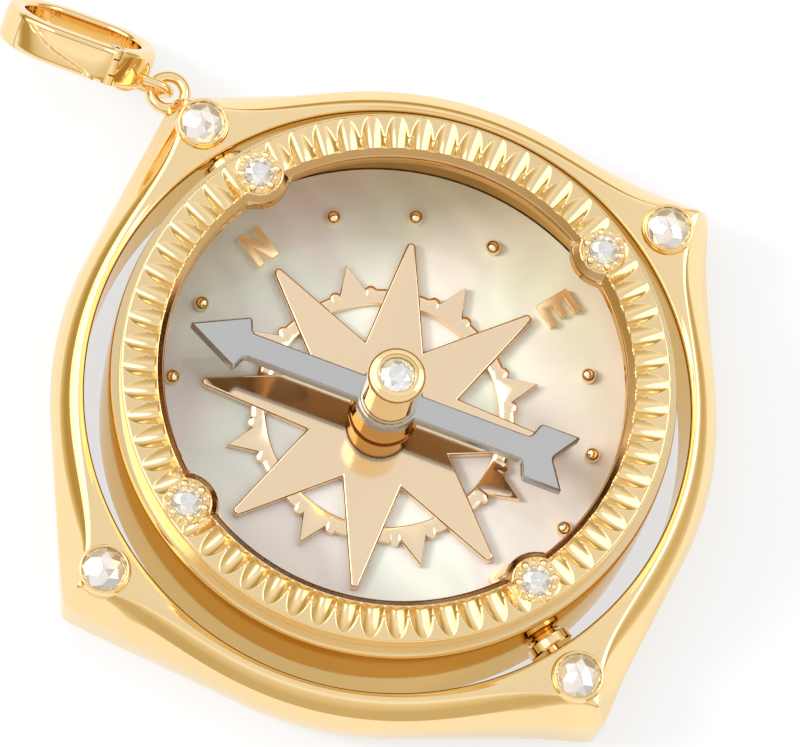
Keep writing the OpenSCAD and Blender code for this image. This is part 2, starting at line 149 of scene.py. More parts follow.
def stone_material(name, colour, clear, mirror):
    """Bright facets, each painted its own shade as painted glints and reflections, with a faint painted
    glow: mostly mirror, with some light passing through to the seat.
    """
    material, tn, links, shader = new_material(name)
    coords = tn.new("ShaderNodeTexCoord").outputs["Object"]
    wisps = noise_node(tn, links, 1400.0, 3.0, coords)
    rough = ramp_node(tn, links, wisps.outputs["Fac"], [(0.4, 0.0), (0.9, 0.04)])
    links.new(rough.outputs["Color"], shader.inputs["Roughness"])
    facing = tn.new("ShaderNodeNewGeometry")
    snap = tn.new("ShaderNodeVectorMath")
    snap.operation = "SNAP"
    snap.inputs[1].default_value = (FACET_STEP, FACET_STEP, FACET_STEP)
    links.new(facing.outputs["True Normal"], snap.inputs[0])
    # Each facet, told apart by its facing, gets its own painted shade: painted glints and reflections
    painted_glint_pick = tn.new("ShaderNodeTexWhiteNoise")
    links.new(snap.outputs["Vector"], painted_glint_pick.inputs["Vector"])
    dark = tuple(c * 0.50 for c in colour)
    middle = tuple(c * 0.88 for c in colour)
    shade = ramp_node(tn, links, painted_glint_pick.outputs["Value"], [(0.05, dark), (0.35, middle), (0.65, colour)])
    links.new(shade.outputs["Color"], shader.inputs["Base Color"])
    shader.inputs["Metallic"].default_value = mirror
    shader.inputs["Transmission Weight"].default_value = clear
    shader.inputs["IOR"].default_value = 2.0
    # Faint painted glow, so the stones shine without a lamp
    set_glow(shader, (1.0, 0.97, 0.94), 0.10)
    return material


def pearl_material(name):
    """Mother-of-pearl: slow drifts between rose grey, silver and pale green, with soft layered lines.

    It is painted warmer toward the E side as a painted warm glow, and the whole dial has a faint painted
    glow of its own colour.
    """
    material, tn, links, shader = new_material(name)
    coords = tn.new("ShaderNodeTexCoord").outputs["Object"]
    drift = noise_node(tn, links, 95.0, 2.0, coords, (1.0, 0.7, 1.0))
    shade = ramp_node(tn, links, drift.outputs["Fac"], [
        (0.24, (0.86, 0.74, 0.68)),
        (0.40, (0.88, 0.84, 0.81)),
        (0.52, (0.86, 0.91, 0.83)),
        (0.62, (0.92, 0.85, 0.84)),
        (0.78, (0.82, 0.88, 0.84)),
    ])
    wave = tn.new("ShaderNodeTexWave")
    wave.inputs["Scale"].default_value = 120.0
    wave.inputs["Distortion"].default_value = 9.0
    wave.inputs["Detail"].default_value = 3.0
    wave.inputs["Detail Scale"].default_value = 1.5
    links.new(coords, wave.inputs["Vector"])
    lines = ramp_node(tn, links, wave.outputs["Fac"], [(0.0, (0.93, 0.93, 0.94)), (1.0, (1.0, 1.0, 1.0))])
    layered = product_node(tn, links, shade.outputs["Color"], lines.outputs["Color"])
    # Painted warm glow: a little darker and cooler toward the W side, warmer and yellower toward the E side
    split = tn.new("ShaderNodeSeparateXYZ")
    links.new(coords, split.inputs["Vector"])
    place = map_node(tn, links, split.outputs["X"], (-PEARL_HALF * MM, PEARL_HALF * MM), (0.0, 1.0))
    painted_warm_glow = ramp_node(tn, links, place.outputs["Result"], [
        (0.0, (0.93, 0.95, 0.94)),
        (0.5, (0.97, 0.96, 0.92)),
        (1.0, (1.0, 0.97, 0.80)),
    ])
    colour = product_node(tn, links, layered, painted_warm_glow.outputs["Color"])
    links.new(colour, shader.inputs["Base Color"])
    shine = ramp_node(tn, links, drift.outputs["Fac"], [(0.3, 0.10), (0.7, 0.22)])
    links.new(shine.outputs["Color"], shader.inputs["Roughness"])
    # Faint painted glow in the dial's own colour: painted light that lifts it in the bezel's shade
    links.new(colour, shader.inputs["Emission Color"])
    shader.inputs["Emission Strength"].default_value = 0.04
    shader.inputs["Coat Weight"].default_value = 0.6
    shader.inputs["Coat Roughness"].default_value = 0.04
    shader.inputs["Specular IOR Level"].default_value = 0.7
    return material


# Each metal has its colour, its lowest and highest roughness, and the strength of its marks

gold = metal("gold_polished", (0.96, 0.73, 0.39), 0.03, 0.09, 0.05)
# Darker gold for the case wall and the frame's bore wall: painted shade, with a darker painted edge tint
gold_painted_shade = metal("gold_painted_shade", (0.83, 0.64, 0.35), 0.06, 0.11, 0.04, edge=PAINTED_SHADE_EDGE)
gold_letter = metal("gold_letter", (0.86, 0.65, 0.38), 0.30, 0.40, 0.05)
# The letters glow faintly in their own colour: painted light
set_glow(gold_letter.node_tree.nodes["Principled BSDF"], (0.80, 0.60, 0.32), 0.20)
# Darker gold for the bezel's inner lip: painted shade
gold_lip_painted_shade = metal("gold_lip_painted_shade", (0.80, 0.58, 0.36), 0.08, 0.14, 0.05)
# Darkest gold for the case's hollow, the bezel's inner wall and the post's foot: painted shade in recesses
# and under overhangs
gold_painted_dark_shade = metal("gold_painted_dark_shade", (0.62, 0.39, 0.20), 0.05, 0.10, 0.05, edge=PAINTED_SHADE_EDGE)
# Fluted top of the bezel: a rougher finish, which is real, and a darker tone, which is painted shade
gold_flute_painted_shade = metal("gold_flute_painted_shade", (0.91, 0.69, 0.37), 0.10, 0.16, 0.05)
gold_satin = metal("gold_satin", (0.93, 0.73, 0.49), 0.07, 0.12, 0.03, FINE_GRAIN, 0.02)
# Paler copy of the gold for the claws, beads and dots: painted highlight
gold_painted_highlight = metal("gold_painted_highlight", (0.97, 0.80, 0.52), 0.08, 0.14, 0.05)
white_gold = metal("white_gold", (0.565, 0.56, 0.55), 0.08, 0.14, 0.05, FINE_GRAIN, 0.02)
# Dark grey for the needle's walls: painted shade that draws a dark outline
white_painted_shade_wall = metal("white_gold_painted_shade_wall", (0.30, 0.30, 0.31), 0.12, 0.32, 0.8, WALL_GRAIN)
# Pale bluish grey for the needle's chamfered rim: painted highlight
white_painted_highlight_rim = metal("white_gold_painted_highlight_rim", (0.66, 0.73, 0.95), 0.22, 0.36, 0.3)
# Dark brown for the needle's underside: painted shade, seen as a painted reflection in the rose below
white_painted_shade_under = metal("white_gold_painted_shade_under", (0.30, 0.20, 0.12), 0.12, 0.3, 0.2)
stone = stone_material("clear_stone", (0.98, 0.97, 0.96), 0.9, 0.6)
foil = metal("stone_seat", (0.93, 0.92, 0.90), 0.3, 0.45, 0.3)
pearl = pearl_material("mother_of_pearl")


# Mesh building

DOUBLES_WITHIN = 0.0005


def new_object(name, data):
    obj = bpy.data.objects.new(name, data)
    bpy.context.scene.collection.objects.link(obj)
    return obj


def in_metres(point):
    return tuple(float(c) * MM for c in point)


def shade_smooth(mesh, sharp):
    """Smooth shading that stops at edges sharper than the angle given."""
    mesh.polygons.foreach_set("use_smooth", [True] * len(mesh.polygons))
    mesh.set_sharp_from_angle(angle=math.radians(sharp))


def add_piece(name, points, faces, material, body, stands_for=(), sharp=32.0):
    mesh = bpy.data.meshes.new(name)
    mesh.from_pydata([in_metres(p) for p in points], [], faces)
    shape = bmesh.new()
    shape.from_mesh(mesh)
    bmesh.ops.recalc_face_normals(shape, faces=shape.faces)
    shape.to_mesh(mesh)
    shape.free()
    shade_smooth(mesh, sharp)
    mesh.materials.append(material)
    obj = new_object(name, mesh)
    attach(obj, body)
    if stands_for:
        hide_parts(*stands_for)
    return obj


def hull_piece(name, points, material, body, stands_for):
    """Convex piece round its points, with flat facets."""
    mesh = bpy.data.meshes.new(name)
    shape = bmesh.new()
    for p in points:
        shape.verts.new(in_metres(p))
    made = bmesh.ops.convex_hull(shape, input=shape.verts)
    loose = [v for v in made["geom_interior"] if isinstance(v, bmesh.types.BMVert)]
    bmesh.ops.delete(shape, geom=loose, context="VERTS")
    bmesh.ops.dissolve_limit(shape, angle_limit=math.radians(1), verts=shape.verts, edges=shape.edges)
    bmesh.ops.recalc_face_normals(shape, faces=shape.faces)
    shape.to_mesh(mesh)
    shape.free()
    mesh.materials.append(material)
    obj = new_object(name, mesh)
    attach(obj, body)
    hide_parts(*stands_for)


def grid_faces(rows, columns, wrap_rows, wrap_columns):
    """Four-sided faces between neighbouring rows of points."""
    faces = []
    for i in range(rows if wrap_rows else rows - 1):
        for j in range(columns if wrap_columns else columns - 1):
            k, m = (i + 1) % rows, (j + 1) % columns
            faces.append((i * columns + j, k * columns + j, k * columns + m, i * columns + m))
    return faces


def lathe(profile, steps):
    """Points and faces from an (r, z) profile, which is closed to a ring unless an end is on the axis."""
    points = []
    for i in range(steps):
        a = 2 * math.pi * i / steps
        points += [(r * math.cos(a), r * math.sin(a), z) for r, z in profile]
    on_axis = profile[0][0] < 1e-6 or profile[-1][0] < 1e-6
    return np.array(points), grid_faces(steps, len(profile), True, not on_axis)


def torus(major, minor, around, across):
    """Points and faces of a ring of round wire."""
    points = []
    for i in range(around):
        a = 2 * math.pi * i / around
        for j in range(across):
            b = 2 * math.pi * j / across
            r = major + minor * math.cos(b)
            points.append((r * math.cos(a), r * math.sin(a), minor * math.sin(b)))
    return np.array(points), grid_faces(around, across, True, True)


def placed(points, shift=(0, 0, 0), turn_z=0.0, lean_x=0.0):
    """Points leaned about X, then turned about Z, then shifted."""
    points = np.array(points, float)
    a = math.radians(lean_x)
    lean = np.array([[1, 0, 0], [0, math.cos(a), -math.sin(a)], [0, math.sin(a), math.cos(a)]])
    b = math.radians(turn_z)
    turn = np.array([[math.cos(b), -math.sin(b), 0], [math.sin(b), math.cos(b), 0], [0, 0, 1]])
    return points @ lean.T @ turn.T + np.array(shift, float)


def laid(points, side, height):
    """Turned points laid along Y at a height, toward +Y for a side of 1 and -Y for -1."""
    return [(x, z * side, y + height) for x, y, z in points]


def bearing_place(radius, bearing):
    """Point at a compass bearing, with N along +Y."""
    a = math.radians(bearing)
    return (radius * math.sin(a), radius * math.cos(a), 0)


def merge_doubles(obj):
    """Merges the doubled points where a lathe meets its axis."""
    shape = bmesh.new()
    shape.from_mesh(obj.data)
    bmesh.ops.remove_doubles(shape, verts=shape.verts, dist=DOUBLES_WITHIN * MM)
    bmesh.ops.recalc_face_normals(shape, faces=shape.faces)
    shape.to_mesh(obj.data)
    shape.free()
    return obj


def bevel(obj, width):
    modifier = obj.modifiers.new("edge", "BEVEL")
    modifier.width = width * MM
    modifier.segments = 3
    modifier.limit_method = "ANGLE"
    modifier.angle_limit = math.radians(40)
    modifier.harden_normals = True


def arc(cx, cz, radius, start, end, count):
    """Points on a circle, as pairs."""
    steps = [math.radians(start + (end - start) * i / (count - 1)) for i in range(count)]
    return [(cx + radius * math.cos(a), cz + radius * math.sin(a)) for a in steps]


def circle_points(radius, z, count, turn=0.0):
    """Evenly spaced points on a level circle."""
    angles = [2 * math.pi * i / count + math.radians(turn) for i in range(count)]
    return [(radius * math.cos(a), radius * math.sin(a), z) for a in angles]


def turned(points, degrees):
    """Pairs turned round the origin."""
    a = math.radians(degrees)
    return [(x * math.cos(a) - y * math.sin(a), x * math.sin(a) + y * math.cos(a)) for x, y in points]


def smooth(x):
    """Eased step from 0 to 1, held beyond its ends."""
    x = max(0.0, min(1.0, x))
    return x * x * (3 - 2 * x)


def blend_values(low, high, x):
    return low + (high - low) * x


# Frame

BORE = 15.05
TOP = 4.65
BORE_ROUND = 0.18
FOOT_EDGE = 0.06
LAND_RISE = 1.5
WALL_FALL = 1.25
CORNER_STONE_AT = 16.81
SOCKET_R = 0.4
SOCKET_FROM = 14.0
SOCKET_TO = 16.04
LOOP_AT = 19.6
LOOP_Z = 2.6

# How far the E, N, W and S corners are drawn out, over which angle, from which radius and over which length
DRAWN_OUT = (0.45, 0.08, 0.0, 0.28)
DRAWN_SPREAD = 6.0
DRAWN_FROM = BORE + 0.3
DRAWN_OVER = 3.5

# Steepness of the convex bevel at places across it, along a side and at a corner
BEVEL_AT = (0.0, 0.139, 0.267, 0.502, 1.0)
SIDE_SLOPE = (8, 25, 35, 41, 50)
CORNER_SLOPE = (34, 41, 43, 46, 50)
SLOPE_SPREAD = 14.0
BEVEL_SAMPLES = 240
BEVEL_STEPS = 16

# Width of the bevel at a corner, and how much it grows along the side
BEVEL_CORNER_W = 0.10
BEVEL_GROWTH = 0.90
BEVEL_SPREAD = 8.0

# The crisp line where the wall meets the top, along a side and toward a corner
CREASE_SIDE = 16.32
CREASE_REACH = 2.15
CREASE_SPREAD = 7.7
CREASE_SOFT = 0.35

# The outer wall bows out round a centre at this radius and height
BOW_AT = 7.94
BOW_Z = 2.9
BOW_R = 8.66
TIP_R = 18.98
TIP_BOW = 0.10
TIP_SOFT = 0.55


def wall_radius(z):
    """Radius of the bowed outer wall at the middle of a side."""
    return BOW_AT + math.sqrt(BOW_R ** 2 - (z - BOW_Z) ** 2)


def outline(delta, z):
    """Radius of the frame's outer wall at a height and an angle from the nearest corner."""
    side = wall_radius(z)
    tip = TIP_R + TIP_BOW * (1 - ((z - BOW_Z) / BOW_Z) ** 2)
    half = math.degrees(math.acos(side / tip))
    eased = math.sqrt(delta * delta + TIP_SOFT)
    return side / math.cos(math.radians(max(0.0, half - eased)))


def crease(delta):
    """Radius of the crisp line where the outer wall meets the top, drawn out to a point at each corner."""
    return CREASE_SIDE + CREASE_REACH * math.exp(-math.hypot(delta, CREASE_SOFT) / CREASE_SPREAD)


def bevel_curve(delta):
    """Convex bevel of unit width, as outward and downward distances from its top edge."""
    along = np.linspace(0, 1, BEVEL_SAMPLES + 1)
    crisp = math.exp(-delta / SLOPE_SPREAD)
    side = np.interp(along, BEVEL_AT, SIDE_SLOPE)
    corner = np.interp(along, BEVEL_AT, CORNER_SLOPE)
    slope = np.radians(side + (corner - side) * crisp)
    out = np.cumsum(np.cos(slope))
    down = np.cumsum(np.sin(slope))
    picks = [BEVEL_SAMPLES * i // BEVEL_STEPS for i in range(1, BEVEL_STEPS + 1)]
    return [(out[i] / out[-1], down[i] / out[-1]) for i in picks]


def frame_section(delta, longer):
    """Section through the frame: bore, land, convex bevel, wall that falls to the widest part and bows.

    The bevel is narrow at a corner and wide along a side.
    The corner is drawn out by the length given as longer.
    """
    wide = outline(delta, BOW_Z)
    width = BEVEL_CORNER_W + BEVEL_GROWTH * (1 - math.exp(-delta / BEVEL_SPREAD))
    land_end = crease(delta) - width
    section = [(BORE + FOOT_EDGE, 0.0), (BORE, FOOT_EDGE)]
    section += [(BORE, z) for z in np.linspace(0.6, TOP - 0.6, 4)]
    section += arc(BORE + BORE_ROUND, TOP - 0.04 - BORE_ROUND, BORE_ROUND, 180, 98, 8)
    start_r, start_z = section[-1]
    for t in np.linspace(0, 1, 7)[1:]:
        rise = smooth(t * LAND_RISE)
        section.append((blend_values(start_r, land_end, t), blend_values(start_z, TOP, rise)))
    section += [(land_end + width * out, TOP - width * down) for out, down in bevel_curve(delta)]
    edge_r, edge_z = section[-1]
    for t in np.linspace(0, 1, 13)[1:]:
        spread = 1 - (1 - t) ** WALL_FALL
        section.append((blend_values(edge_r, wide, spread), blend_values(edge_z, BOW_Z, t)))
    section += [(outline(delta, z), z) for z in np.linspace(BOW_Z - 0.3, 0.4, 9)]
    base = outline(delta, 0.2)
    section += [(base, 0.2), (base - 0.06, 0.07), (base - 0.16, 0.0)]
    drawn = longer * math.exp(-((delta / DRAWN_SPREAD) ** 2))
    return [(r + drawn * max(0.0, (r - DRAWN_FROM) / DRAWN_OVER), z) for r, z in section]


def build_frame():
    from_corner = [0.0, 0.25, 0.5, 0.8, 1.2, 1.7, 2.3, 3.0]
    from_corner += list(np.arange(4.0, 45.5, 1.0))
    stations = []
    for quarter in range(4):
        corner = 90.0 * quarter
        stations += [(corner + delta, delta) for delta in from_corner]
        stations += [(corner + 90.0 - delta, delta) for delta in reversed(from_corner[1:-1])]
    points = []
    for angle, delta in stations:
        a = math.radians(angle)
        longer = DRAWN_OUT[round(angle / 90.0) % 4]
        section = frame_section(delta, longer)
        points += [(r * math.cos(a), r * math.sin(a), z) for r, z in section]
    faces = grid_faces(len(stations), len(section), True, True)
    body = add_piece("frame_body", points, faces, gold, "frame", ["frame"], 50.0)
    cut_sockets(body)
    # Bore wall facing the case gets the darker gold: painted shade in the gap between frame and case
    body.data.materials.append(gold_painted_shade)
    for polygon in body.data.polygons:
        reach = math.hypot(polygon.center.x, polygon.center.y)
        if reach < (BORE + 0.1) * MM and abs(polygon.normal.z) < 0.5:
            polygon.material_index = 1
    for letter, bearing in QUARTERS.items():
        build_collet(letter, bearing)
    build_loop()


def cut_sockets(body):
    """Bores the two blind sockets that hold the case's pins."""
    cutters = []
    for side in (-1, 1):
        socket = [(0, SOCKET_FROM), (SOCKET_R, SOCKET_FROM), (SOCKET_R, SOCKET_TO), (0, SOCKET_TO)]
        points, faces = lathe(socket, 32)
        mesh = bpy.data.meshes.new("cutter")
        mesh.from_pydata([in_metres(p) for p in laid(points, side, PIN_Z)], [], faces)
        cutter = merge_doubles(new_object("cutter", mesh))
        cutters.append(cutter)
        modifier = body.modifiers.new("socket", "BOOLEAN")
        modifier.operation = "DIFFERENCE"
        modifier.solver = "EXACT"
        modifier.object = cutter
    bpy.context.view_layer.update()
    graph = bpy.context.evaluated_depsgraph_get()
    made = bpy.data.meshes.new_from_object(body.evaluated_get(graph))
    body.modifiers.clear()
    body.data = made
    for cutter in cutters:
        bpy.data.objects.remove(cutter)


def build_collet(letter, bearing):
    place = bearing_place(CORNER_STONE_AT, bearing)
    rim = [(0.0, 4.42), (1.0, 4.42), (1.09, 4.5), (1.12, 4.9)]
    rim += arc(1.185, 4.93, 0.065, 165, 10, 8)
    rim += [(1.26, 4.86), (1.28, 4.72), (1.31, 4.66), (1.36, 4.60), (1.36, 4.30), (0.0, 4.30)]
    points, faces = lathe(rim, 96)
    merge_doubles(add_piece(
        "frame_collet_" + letter, placed(points, place), faces, gold, "frame"
    ))
    seat, seat_faces = lathe([(0.0, 4.5), (1.02, 4.5), (1.05, 4.56), (0.0, 4.53)], 48)
    merge_doubles(add_piece(
        "frame_seat_" + letter, placed(seat, place), seat_faces, foil, "frame"
    ))
    build_rose_cut("frame_stone_" + letter, place, bearing * 0.7 + 11.0)


# Rings of a rose-cut stone, as radius, height, number of points and turn
ROSE_CUT = (
    (1.09, 4.6, 12, 0),
    (1.11, 4.84, 12, 0),
    (0.86, 5.02, 6, 30),
    (0.56, 5.12, 6, 0),
    (0.12, 5.19, 6, 30),
)


def build_rose_cut(node, place, turn):
    """Rose-cut stone from rings of points, from the girdle up."""
    points = []
    for radius, z, count, more in ROSE_CUT:
        points += circle_points(radius, z, count, turn + more)
    hull_piece(node + "_cut", placed(points, place), stone, "frame", [node])


def build_loop():
    points, faces = torus(0.85, 0.3, 64, 24)
    add_piece("corner_loop", placed(points, (0, LOOP_AT, LOOP_Z)), faces, gold, "frame")
    neck = [(0, 17.9), (0.4, 17.9), (0.4, 18.6), (0.44, 18.72), (0.4, 18.84), (0, 18.86)]
    points, faces = lathe(neck, 32)
    merge_doubles(add_piece(
        "corner_loop_neck", laid(points, 1, LOOP_Z), faces, gold, "frame"
    ))


# Link

LINK_AT = (-0.652, 20.466, 2.66)
LINK_HEADING = -52.7
LINK_HALF = 0.51
LINK_ROUND = 0.62
LINK_WIRE = 0.23
LINK_SIDES = 20


def build_link():
    path = []
    for centre, start in ((LINK_HALF, -90), (-LINK_HALF, 90)):
        for i in range(25):
            a = math.radians(start + 180 * i / 24)
            nx, ny = math.cos(a), math.sin(a)
            path.append((centre + LINK_ROUND * nx, LINK_ROUND * ny, nx, ny))
    points = []
    for x, y, nx, ny in path:
        for out, up in arc(0, 0, LINK_WIRE, 0, 360 - 360 / LINK_SIDES, LINK_SIDES):
            points.append((x + out * nx, y + out * ny, up))
    faces = grid_faces(len(path), LINK_SIDES, True, True)
    points = placed(points, LINK_AT, LINK_HEADING, 90.0)
    add_piece("link_wire", points, faces, gold, "frame", ["link"])


# Clip ring: its band is two half circles joined by straights, seen from the band's side

CLIP_AT = (-2.5, 24.1, 2.93)
CLIP_HEADING = 127.3
CLIP_LEAN = 57.4
CLIP_STRAIGHT = 0.9
CLIP_IN = 2.15
CLIP_OUT = 3.0
CLIP_HALF_W = 0.95
GATE_FREE = 48.8
GATE_HINGE = 134.5
GATE_HOLLOW = 0.13
GATE_HOLLOW_TOP = 0.72
GATE_HOLLOW_LOW = (0.86, -1.3)
HINGE_REACH = 2.575
HINGE_ANGLE = 62.0
HINGE = (
    -CLIP_STRAIGHT - HINGE_REACH * math.cos(math.radians(HINGE_ANGLE)),
    HINGE_REACH * math.sin(math.radians(HINGE_ANGLE)),
)
EYE_AT = (-1.39, 21.43, 2.75)


def clip_placed(points):
    return placed(points, CLIP_AT, CLIP_HEADING, CLIP_LEAN)


def band_frame(s):
    """Centre and outward direction at a station on the band, which has 20 units on each straight."""
    if s < 90:
        a = math.radians(s)
        return (CLIP_STRAIGHT, 0.0), (math.cos(a), math.sin(a))
    if s < 110:
        x = blend_values(CLIP_STRAIGHT, -CLIP_STRAIGHT, (s - 90) / 20)
        return (x, 0.0), (0.0, 1.0)
    if s < 290:
        a = math.radians(s - 20)
        return (-CLIP_STRAIGHT, 0.0), (math.cos(a), math.sin(a))
    if s < 310:
        x = blend_values(-CLIP_STRAIGHT, CLIP_STRAIGHT, (s - 290) / 20)
        return (x, 0.0), (0.0, -1.0)
    a = math.radians(s - 40)
    return (CLIP_STRAIGHT, 0.0), (math.cos(a), math.sin(a))


def band_section():
    """Rounded section of the band as (radius, across) pairs, slightly domed outside."""
    soft_out, soft_in, dome, dome_steps = 0.3, 0.2, 0.03, 40
    section = []
    for cx, cz, start, soft in (
        (CLIP_OUT - soft_out, CLIP_HALF_W - soft_out, 0, soft_out),
        (CLIP_IN + soft_in, CLIP_HALF_W - soft_in, 90, soft_in),
        (CLIP_IN + soft_in, -CLIP_HALF_W + soft_in, 180, soft_in),
        (CLIP_OUT - soft_out, -CLIP_HALF_W + soft_out, 270, soft_out),
    ):
        section += arc(cx, cz, soft, start, start + 90, 7)
    for i in range(1, dome_steps):
        z = blend_values(-CLIP_HALF_W + soft_out, CLIP_HALF_W - soft_out, i / dome_steps)
        section.append((CLIP_OUT + dome * math.sin(math.pi * i / dome_steps), z))
    return section


def gate_hollow(s, r, z):
    """Depth of the hollowed wedge on the gate's outside, which widens toward the hinge."""
    low = blend_values(*GATE_HOLLOW_LOW, (s - GATE_FREE) / (GATE_HINGE - GATE_FREE))
    if r <= CLIP_OUT - 0.35 or z <= low or z >= GATE_HOLLOW_TOP:
        return 0.0
    return GATE_HOLLOW * smooth((z - low) / 0.10) * smooth((GATE_HOLLOW_TOP - z) / 0.05)


def sweep_band(spans, hollow=None):
    """Sweeps the section over spans of stations, each given by its start, end and count."""
    stations = []
    for start, end, count in spans:
        stations += list(np.linspace(start, end, count))
    section = band_section()
    points = []
    for s in stations:
        (cx, cy), (nx, ny) = band_frame(s)
        for r, z in section:
            if hollow:
                r -= hollow(s, r, z)
            points.append((cx + nx * r, cy + ny * r, z))
    count = len(section)
    faces = grid_faces(len(stations), count, False, True)
    last = (len(stations) - 1) * count
    faces.append(tuple(range(count)))
    faces.append(tuple(last + j for j in reversed(range(count))))
    return clip_placed(points), faces


def build_clip():
    points, faces = sweep_band([(139.5, 290, 50), (294, 310, 5), (313, 448.2, 46)])
    add_piece("clip_ring_band", points, faces, gold, "frame", ["clip_ring"], 40.0)
    points, faces = sweep_band([(GATE_FREE, 90, 30), (91, 109, 19), (110, GATE_HINGE, 20)], gate_hollow)
    add_piece("clip_gate_band", points, faces, gold, "clip_gate", ["clip_gate"], 28.0)


def build_knuckle(name, low, high, body):
    """Round hinge knuckle between two heights, with chamfered ends."""
    hole, outer, edge = 0.16, 0.45, 0.04
    profile = [(hole, low), (outer - edge, low), (outer, low + edge)]
    profile += [(outer, high - edge), (outer - edge, high), (hole, high)]
    points, faces = lathe(profile, 32)
    add_piece(name, clip_placed(points + np.array((*HINGE, 0))), faces, gold, body)


def build_clip_details():
    build_knuckle("clip_lug_upper", 0.45, 0.95, "frame")
    build_knuckle("clip_lug_lower", -0.95, -0.45, "frame")
    build_knuckle("clip_gate_knuckle", -0.4, 0.4, "clip_gate")
    points, faces = torus(0.6, 0.22, 56, 20)
    add_piece("clip_eye", placed(points, EYE_AT), faces, gold, "frame")


# Case

DRUM_R = 14.05
DRUM_BOW_R = 90
DRUM_BOW_Z = 4.0
DRUM_TOP = 7.3
HOLLOW_R = 13.05
HOLLOW_FLOOR = 1.15


def build_case():
    foot = [(0.0, 0.0), (13.6, 0.0), (13.78, 0.0), (13.87, 0.03), (13.94, 0.09), (13.97, 0.17)]
    wall = []
    for z in np.linspace(0.28, DRUM_TOP, 24):
        wall.append((DRUM_R - DRUM_BOW_R + math.sqrt(DRUM_BOW_R ** 2 - (z - DRUM_BOW_Z) ** 2), z))
    wall[-1] = (wall[-1][0] - 0.05, DRUM_TOP)
    inner = [(HOLLOW_R + 0.05, DRUM_TOP), (HOLLOW_R, DRUM_TOP - 0.05), (HOLLOW_R, 4.0)]
    inner += [(HOLLOW_R, HOLLOW_FLOOR + 0.05), (HOLLOW_R - 0.1, HOLLOW_FLOOR), (0.0, HOLLOW_FLOOR)]
    points, faces = lathe(foot + wall + inner, 288)
    # The whole drum is the darker gold: painted shade on the wall low between bezel and frame
    drum = add_piece("case_drum", points, faces, gold_painted_shade, "case", ["case"], 35.0)
    merge_doubles(drum)
    # Inner wall and floor of the hollow get the darkest gold: painted shade under the bezel's overhang
    drum.data.materials.append(gold_painted_dark_shade)
    for polygon in drum.data.polygons:
        reach = math.hypot(polygon.center.x, polygon.center.y)
        if reach < (HOLLOW_R + 0.03) * MM and polygon.center.z > (HOLLOW_FLOOR - 0.05) * MM:
            polygon.material_index = 1
    inner_collar = [(0, 13.4), (0.95, 13.4), (0.95, 14.02), (0.90, 14.08), (0.74, 14.1)]
    groove = [(0.70, 14.16), (0.74, 14.22), (1.08, 14.25)]
    outer_collar = [(1.18, 14.32), (1.18, 14.74), (1.1, 14.82), (0.35, 14.82)]
    pin = [(0.35, 15.9), (0.31, 15.95), (0, 15.95)]
    points, faces = lathe(inner_collar + groove + outer_collar + pin, 48)
    for letter, side in (("n", 1), ("s", -1)):
        merge_doubles(add_piece(
            "case_pivot_" + letter, laid(points, side, PIN_Z), faces, gold, "case"
        ))


# Bezel

PITCH = 360.0 / 64
FLUTES_EACH_SIDE = 15
BEZEL_IN = 11.40
BEZEL_OUT = 13.57
BEZEL_LOW = 7.31
BEZEL_TOP = 8.4
LIP_FOOT = 8.0
LIP_W = 0.37
LIP_ROUND = 0.06
LIP_RISE = 0.07
LIP_SLOPE = 1.05
FLUTE_FROM = 11.79
FLUTE_TO = 13.50
FLUTE_DEPTH = 0.36
FLUTE_FILL = 0.98
FLUTE_FADE = 1.8
FLUTE_START = 0.08
PAD_AT = 12.34
PAD_R = 1.58
PAD_BLEND = 7.5
SEAT_R = 0.73
SEAT_Z = 8.05
CLAWS_R = 1.12
CLAWS_SINK = 0.05
CLAW_FROM = 0.76
CLAW_TURN = 36.0
PER_QUARTER = 384
ACROSS = 52


def bezel_inner(angle):
    """Inner radius of the bezel at an angle from the nearest stone, swelling inward round the stone."""
    a = math.radians(abs(angle))
    if PAD_AT * math.sin(a) >= PAD_R:
        return BEZEL_IN
    swell = PAD_AT * math.cos(a) - math.sqrt(PAD_R ** 2 - (PAD_AT * math.sin(a)) ** 2)
    return -math.log(math.exp(-PAD_BLEND * (swell - BEZEL_IN)) + 1.0) / PAD_BLEND + BEZEL_IN


def stone_distance(r, angle):
    """Distance from the centre of the nearest stone."""
    a = math.radians(angle)
    return math.hypot(r * math.cos(a) - PAD_AT, r * math.sin(a))


def from_inner_edge(r, angle):
    """Distance outward from the bezel's inner edge, which runs round the stones."""
    return max(r - BEZEL_IN, PAD_R - stone_distance(r, angle))


def scoop_depth(r, angle):
    """Depth of the flute at a point, where angle is measured from the nearest stone."""
    index = round(abs(angle) / PITCH)
    if index < 1 or index > FLUTES_EACH_SIDE or r < FLUTE_FROM:
        return 0.0
    across = abs(r * math.sin(math.radians(abs(angle) - index * PITCH)))
    half = FLUTE_FILL * r * math.sin(math.radians(PITCH / 2))
    fade = 1 - ((r - FLUTE_FROM) / (FLUTE_TO - FLUTE_FROM)) ** FLUTE_FADE
    hollow = FLUTE_DEPTH * (fade - (across / half) ** 2)
    return max(0.0, hollow) * smooth((r - FLUTE_FROM) / FLUTE_START)


def lip_height(depth):
    """Height across the inner lip: a rounded foot, then a chamfer of about 45 degrees up to the top."""
    if depth < LIP_ROUND:
        return LIP_FOOT + LIP_RISE * math.sqrt(max(0.0, 1 - (1 - depth / LIP_ROUND) ** 2))
    return min(BEZEL_TOP, LIP_FOOT + LIP_RISE + LIP_SLOPE * (depth - LIP_ROUND))


def bezel_top(r, angle):
    """Height of the bezel's top, sunk under the stone and its claws."""
    away = stone_distance(r, angle)
    if away < SEAT_R:
        return SEAT_Z
    z = lip_height(from_inner_edge(r, angle))
    if away < CLAWS_R:
        return z - CLAWS_SINK
    return z - scoop_depth(r, angle)


